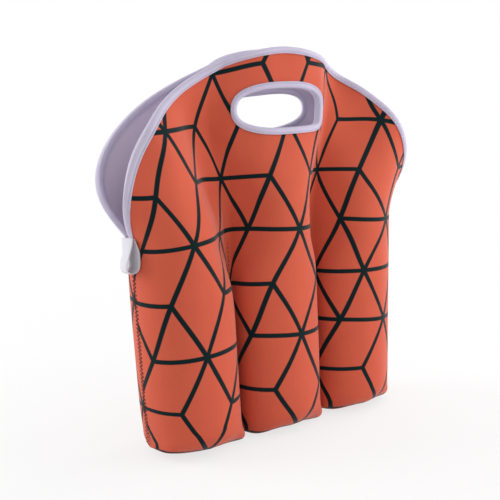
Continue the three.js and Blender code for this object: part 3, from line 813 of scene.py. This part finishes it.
def print_material():
    graph = Fabric("printed_jersey", sheen=0.4)
    s, z = graph.cloth()
    ground = graph.mix(graph.noise(scale=55.0), *PRINT_GROUND)
    graph.colour(graph.mix(lattice_mask(graph, s, z), ground, PRINT_LINES))
    graph.uneven_rough(least=0.72, scale=900.0)
    graph.bump(knit_height(graph, s, z, wale=0.9, course=0.75), strength=0.35, distance=0.25 * MM)
    return graph.material


def knit_material(name, colours, wale, course, strength, sheen):
    graph = Fabric(name, sheen)
    s, z = graph.cloth()
    graph.colour(graph.mix(graph.noise(scale=70.0), *colours))
    graph.uneven_rough(least=0.74, scale=800.0)
    graph.bump(knit_height(graph, s, z, wale, course), strength, distance=0.3 * MM)
    return graph.material


def thread_material(name, colours):
    graph = Fabric(name, sheen=0.1)
    noise = graph.noise(scale=1500.0)
    graph.colour(graph.mix(noise, *colours))
    graph.rough(0.6)
    graph.bump(noise, strength=0.4, distance=0.2 * MM)
    return graph.material


PRINT = print_material()
# Lining cloth in the lining colours, which carry painted light against the shade inside the bag
LINING_CLOTH = knit_material("lining_jersey", LINING_COLOURS_PAINTED_LIGHTER, wale=1.0, course=0.8, strength=0.4, sheen=0.2)
TAPE = knit_material("binding_tape", TAPE_COLOURS, wale=1.2, course=0.5, strength=0.4, sheen=0.12)
TAPE_THREAD = thread_material("tape_thread", TAPE_THREAD_COLOURS)
SEAM_THREAD = thread_material("seam_thread", SEAM_THREAD_COLOURS)
RIBBON = knit_material("label_ribbon", RIBBON_COLOURS, wale=0.5, course=0.5, strength=0.3, sheen=0.1)

# Stitches in the tape's groove: distance from its inner line, first place, pitch, share sewn and radius
GROOVE, GROOVE_START, GROOVE_PITCH, GROOVE_SHARE, GROOVE_RADIUS = 1.1, 0.3, 3.2, 0.72, 0.28
# Their height over the cloth, and the offset of each leaf's row with the way out of it
GROOVE_LIFT = 1.0
GROOVE_ROWS = ((WALL + GROOVE_LIFT, 1.0), (-GROOVE_LIFT, -1.0))
# Stations of the edge tape at each foot that stay unstitched
UNSTITCHED = 3


def bend_with_flap(obj):
    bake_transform(obj)


def groove_stitches(name, edges, outward, rear):
    """Straight stitches along a tape's groove, one row on each leaf."""
    line = edges + outward * (GROOVE - LEG)
    lengths = run_lengths(line)
    first = np.arange(int(lengths[-1] // GROOVE_PITCH)) * GROOVE_PITCH + GROOVE_START
    from_s, from_z = along(first, lengths, line).T
    to_s, to_z = along(first + GROOVE_PITCH * GROOVE_SHARE, lengths, line).T
    rows = []
    for offset, out in GROOVE_ROWS:
        plain = formed(from_s, from_z, offset)
        low = plain + slack(from_s, from_z, rear)
        high = formed(to_s, to_z, offset) + slack(to_s, to_z, rear)
        rows.append((low, high, formed(from_s, from_z, offset + out) - plain))
    starts, ends, normals = (np.concatenate(v) for v in zip(*rows))
    if rear:
        starts, ends, normals = starts * MIRROR, ends * MIRROR, normals * MIRROR
    return stitches(name, starts, ends, normals, GROOVE_RADIUS, TAPE_THREAD)


def cut_size(rows, faces):
    """Width, length and area of a panel's flat cut, in metres."""
    _, height = shape_of(rows, WALL)
    flat = np.stack([rows[:, 0], height], -1) * MM
    area = 0.0
    for face in faces:
        p = flat[list(face)]
        q = np.roll(p, -1, axis=0)
        area += abs((p[:, 0] * q[:, 1] - q[:, 0] * p[:, 1]).sum()) / 2
    width, length = np.ptp(flat, axis=0)
    return (width, length), area


# Panels, linings and bindings, front and rear
cloth_rows, cloth_faces = panel_cloth()
cut, cut_area = cut_size(cloth_rows, cloth_faces)
for end in ("front", "rear"):
    rear = end == "rear"
    # The rear panel is the same cut turned round, so its slot's square corner is on the other side
    turned = np.array((-1.0 if rear else 1.0, 1.0, 1.0))
    rows = cloth_rows * turned
    faces = reversed_faces(cloth_faces) if rear else cloth_faces
    panel = sheet(f"{end}_panel", rows, faces, SHELL_IN, WALL, PRINT, rear)
    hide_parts(f"{end}_pocket_panel", f"{end}_fold_band", f"{end}_handle_panel")
    bend_with_flap(panel)
    lining = sheet(f"{end}_lining", rows, faces, 0.0, LINING, LINING_CLOTH, rear)
    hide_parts(f"{end}_pocket_lining", f"{end}_fold_lining", f"{end}_handle_lining")
    bend_with_flap(lining)

    edges, outward = edge_points(np.linspace(EDGE_FOOT, np.pi - EDGE_FOOT, EDGE_STATIONS))
    squeeze = FOOT_SQUEEZE + (1 - FOOT_SQUEEZE) * smooth(edges[:, 1], POCKET, POCKET + SQUEEZE_RISE)
    tape = sweep_tape(f"{end}_edge_tape", edges, outward, False, TAPE, rear, squeeze)
    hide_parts(f"{end}_edge_binding", f"{end}_right_fold_binding", f"{end}_left_fold_binding")
    bend_with_flap(tape)
    stitched = slice(UNSTITCHED, -UNSTITCHED)
    thread = groove_stitches(f"{end}_edge_stitches", edges[stitched], outward[stitched], rear)
    bend_with_flap(thread)

    edges, outward = (v * turned[:2] for v in slot_ring(SLOT_STATIONS))
    if rear:
        edges, outward = edges[::-1], outward[::-1]
    tape = sweep_tape(f"{end}_grip_tape", edges, outward, True, TAPE, rear)
    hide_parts(f"{end}_grip_binding")
    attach(tape, f"{end}_handle")
    thread = groove_stitches(f"{end}_grip_stitches", edges, outward, rear)
    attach(thread, f"{end}_handle")

# Side seams: zigzag thread across the joint of the two panels
ZIGZAG_HALF, ZIGZAG_PITCH = 1.8, 3.0
ZIGZAG_FOOT, ZIGZAG_CLEAR = 11.0, 1.5
ZIGZAG_LIFT, ZIGZAG_RADIUS = 0.25, 0.25


def zigzag(name, side):
    heights = np.arange(ZIGZAG_FOOT, POCKET - ZIGZAG_CLEAR, ZIGZAG_PITCH / 2)
    corners = formed(side * (SIDE - ZIGZAG_HALF), heights, WALL + ZIGZAG_LIFT)
    corners[1::2] *= MIRROR
    normals = np.tile((side * 1.0, 0.0, 0.0), (len(corners) - 1, 1))
    return stitches(name, corners[:-1], corners[1:], normals, ZIGZAG_RADIUS, SEAM_THREAD)


for side, word in ((1, "right"), (-1, "left")):
    seam = zigzag(f"{word}_side_zigzag", side)
    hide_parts(f"{word}_side_seam")
    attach(seam, "pouch")

# Column seams: straight stitches through both panels between the tubes, and the web that they pinch
COLUMN_PITCH, COLUMN_SHARE, COLUMN_LIFT, COLUMN_RADIUS = 3.4, 0.7, 0.05, 0.35
COLUMN_FOOT, COLUMN_CLEAR = 6.0, 2.0
WEB_FOOT, WEB_HALF_WIDTH, WEB_HALF_DEPTH, WEB_PINCH = 4.5, 1.9, 0.85, 0.18
WEB_STATIONS, WEB_SIDES = 60, 12


def column_stitches(name, side):
    heights = np.arange(COLUMN_FOOT, COLUMN_TOP - COLUMN_CLEAR, COLUMN_PITCH)
    low = formed(side * HALF, heights, WALL + COLUMN_LIFT)
    high = formed(side * HALF, heights + COLUMN_PITCH * COLUMN_SHARE, WALL + COLUMN_LIFT)
    normal = np.tile((0.0, -1.0, 0.0), (len(heights), 1))
    starts, ends, normals = (np.concatenate([v, v * MIRROR]) for v in (low, high, normal))
    return stitches(name, starts, ends, normals, COLUMN_RADIUS, SEAM_THREAD)


def column_web(name, side):
    """Pinched strip of lining between the two panels along a column seam."""
    heights = np.linspace(WEB_FOOT, COLUMN_TOP, WEB_STATIONS)
    turns = np.arange(WEB_SIDES) * TURN / WEB_SIDES
    points = []
    for z in heights:
        x = formed(side * HALF, z, 0.0)[0]
        depth = WEB_HALF_DEPTH * (1 - WEB_PINCH * math.cos(z * TURN / COLUMN_PITCH))
        points += [(x + WEB_HALF_WIDTH * math.cos(turn), depth * math.sin(turn), z) for turn in turns]
    points = np.array(points)
    obj = new_object(name, points, reversed_faces(tube_faces(WEB_STATIONS, WEB_SIDES)), LINING_CLOTH)
    give_map(obj, points[:, [0, 2]])
    return obj


for side, word in ((1, "right"), (-1, "left")):
    web = column_web(f"{word}_column_web", side)
    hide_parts(f"{word}_column_seam")
    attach(web, "pouch")
    thread = column_stitches(f"{word}_column_stitches", side)
    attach(thread, "pouch")

# Side label: a bare ribbon folded into a loop, its inner leaf bent round the seam and its outer one bowed
LABEL_HALF, LABEL_THICK = 8.5, 0.6
LABEL_SEAT, LABEL_BOW = 33.0, 0.9
# Its tilt, the turn of its outer leaf, the share of that at the top, and its shift where it hangs
LABEL_TILT, LABEL_TURN, LABEL_TOP_TURN, LABEL_SHIFT = -0.09, -0.16, -0.6, -2.2
# Heights, below the tubes' top, over which it comes to hang and gets its full width from a narrower sewn end
LABEL_HANGS, LABEL_WIDENS, LABEL_NARROW = (-3.0, 10.0), (-4.0, 9.0), 0.88
# Ribbon seen from the front: distance out of the side seam and height above the tubes' top
LABEL_RUN = (
    (3.2, 3.4), (4.0, -1.5), (5.8, -7.0), (7.8, -12.6), (8.9, -17.0), (8.3, -20.6), (6.0, -22.2),
    (3.3, -21.2), (1.7, -16.8), (1.3, -9.0), (1.6, -2.5), (2.3, 2.6),
)
# Share of its length over which the outer leaf becomes the inner one, and the counts of its points
LABEL_FOLD = (0.42, 0.62)
LABEL_RUN_STEPS, LABEL_STEPS = 5, 12


def smooth_run(points, steps):
    """A Catmull-Rom line through points, with steps pieces between each two."""
    points = np.array(points)
    padded = np.concatenate([[2 * points[0] - points[1]], points, [2 * points[-1] - points[-2]]])
    t = np.arange(steps)[:, None] / steps
    run = []
    for p, q, r, w in zip(padded, padded[1:], padded[2:], padded[3:]):
        square = p - 2.5 * q + 2 * r - w / 2
        cube = 1.5 * (q - r) + (w - p) / 2
        run.append(q + t * ((r - p) / 2 + t * (square + t * cube)))
    return np.concatenate(run + [points[-1:]])


def label_loop(name):
    """Ribbon sewn in at its top and hung as an open loop."""
    seam = formed(-SIDE, POCKET, WALL)[0]
    run = smooth_run(LABEL_RUN, LABEL_RUN_STEPS)
    lengths = run_lengths(run)
    tangent = unit(np.gradient(run, axis=0))
    normal = np.stack([-tangent[:, 1], tangent[:, 0]], -1)
    inner = smooth(lengths / lengths[-1], *LABEL_FOLD)[:, None]
    hung = smooth(-run[:, 1], *LABEL_HANGS)[:, None]
    narrow = LABEL_NARROW + (1 - LABEL_NARROW) * smooth(-run[:, 1], *LABEL_WIDENS)[:, None]
    turn = LABEL_TURN * (1 - inner) * (LABEL_TOP_TURN + (1 - LABEL_TOP_TURN) * hung)
    across = np.linspace(-1.0, 1.0, LABEL_STEPS + 1)
    y = LABEL_HALF * narrow * across
    place = y + LABEL_SHIFT * hung
    bow = (1 - inner) * LABEL_BOW * (1 - across ** 2) - inner * place ** 2 / (2 * LABEL_SEAT)
    layers = []
    for layer in (1, -1):
        out, rise = (run + normal * (layer * LABEL_THICK / 2)).T[:, :, None]
        skin = np.stack([seam - out - bow - turn * y, place, POCKET + rise + LABEL_TILT * y], -1)
        layers.append(skin.reshape(-1, 3))
    rows, columns = y.shape
    grid = []
    for i in range(rows - 1):
        for a in range(i * columns, (i + 1) * columns - 1):
            grid.append((a, a + 1, a + columns + 1, a + columns))
    obj = new_object(name, np.concatenate(layers), skin_faces(grid, rows * columns), RIBBON)
    flat = np.stack(np.broadcast_arrays(LABEL_HALF * across, -lengths[:, None]), -1).reshape(-1, 2)
    give_map(obj, np.concatenate([flat, flat]))
    return obj


label = label_loop("label_ribbon_loop")
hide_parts("side_label")
pivot = formed(-SIDE, POCKET, WALL) * MM
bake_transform(label)

# Floor, light and background, in metres
WHITE = (1, 1, 1, 1)
FLOOR_HALF, FLOOR_GREY = 6.0, (0.86, 0.86, 0.86, 1)
# The floor's own white, seen beside its shadow: share near the object and further off, and those distances
FLOOR_FADE, FLOOR_WHITE = (0.15, 0.7), (0.72, 1.0)
WORLD_LIGHT = 0.66
LAMP_SIZE, LAMP_AIM = (0.7, 1.1), (0.0, 0.0, 0.15)
# Lamps: place to the camera's right, towards the camera and up, and power in watts
LAMPS = {
    "right_softbox": ((1.15, 0.1, 0.5), 7.0),
    "right_rear_softbox": ((0.9, -0.6, 0.6), 5.8),
    "left_softbox": ((-1.15, -0.1, 0.5), 9.0),
}


class StageNodes(Nodes):
    """Nodes of the floor or the world, which light the object plainly and look white themselves."""

    def __init__(self, tree):
        super().__init__(tree)
        tree.nodes.clear()

    def white_rays(self):
        """1 for the rays that see the background: from the camera, off gloss and through glass."""
        path = self.node("ShaderNodeLightPath").outputs
        seen = self.math("MAXIMUM", path["Is Camera Ray"], path["Is Glossy Ray"])
        return self.math("MAXIMUM", seen, path["Is Transmission Ray"])

    def show(self, output, share, plain, white):
        mix = self.node("ShaderNodeMixShader", {0: share, 1: plain.outputs[0], 2: white.outputs[0]})
        self.node(output, {0: mix.outputs[0]})


def make_floor():
    corners = [(x * FLOOR_HALF, y * FLOOR_HALF, 0) for x, y in ((-1, -1), (1, -1), (1, 1), (-1, 1))]
    mesh = bpy.data.meshes.new("floor")
    mesh.from_pydata(corners, [], [(0, 1, 2, 3)])
    floor = bpy.data.objects.new("floor", mesh)
    bpy.context.scene.collection.objects.link(floor)
    material = bpy.data.materials.new("floor")
    material.use_nodes = True
    nodes = StageNodes(material.node_tree)
    place = nodes.node("ShaderNodeTexCoord").outputs["Object"]
    reach = nodes.node("ShaderNodeVectorMath", {0: place}, operation="LENGTH").outputs["Value"]
    fade = nodes.ramp(reach, *FLOOR_FADE, *FLOOR_WHITE, kind="SMOOTHSTEP")
    share = nodes.math("MULTIPLY", nodes.white_rays(), fade)
    plain = nodes.node("ShaderNodeBsdfDiffuse", {0: FLOOR_GREY})
    white = nodes.node("ShaderNodeEmission", {0: WHITE, 1: 1.0})
    nodes.show("ShaderNodeOutputMaterial", share, plain, white)
    mesh.materials.append(material)


def make_world():
    world = bpy.data.worlds.new("studio")
    bpy.context.scene.world = world
    world.use_nodes = True
    nodes = StageNodes(world.node_tree)
    plain = nodes.node("ShaderNodeBackground", {0: WHITE, 1: WORLD_LIGHT})
    white = nodes.node("ShaderNodeBackground", {0: WHITE, 1: 1.0})
    nodes.show("ShaderNodeOutputWorld", nodes.white_rays(), plain, white)


def make_lamp(name, place, power):
    right, towards, up = place
    across = Vector((math.cos(YAW), -math.sin(YAW), 0))
    nearer = Vector((-math.sin(YAW), -math.cos(YAW), 0))
    data = bpy.data.lights.new(name, "AREA")
    data.shape = "RECTANGLE"
    data.size, data.size_y = LAMP_SIZE
    data.energy = power
    lamp = bpy.data.objects.new(name, data)
    lamp.location = across * right + nearer * towards + Vector((0, 0, up))
    lamp.rotation_mode = "QUATERNION"
    lamp.rotation_quaternion = (Vector(LAMP_AIM) - lamp.location).to_track_quat("-Z", "Y")
    bpy.context.scene.collection.objects.link(lamp)


make_floor()
make_world()
for name, (place, power) in LAMPS.items():
    make_lamp(name, place, power)

bpy.context.scene.view_settings.view_transform = "Standard"
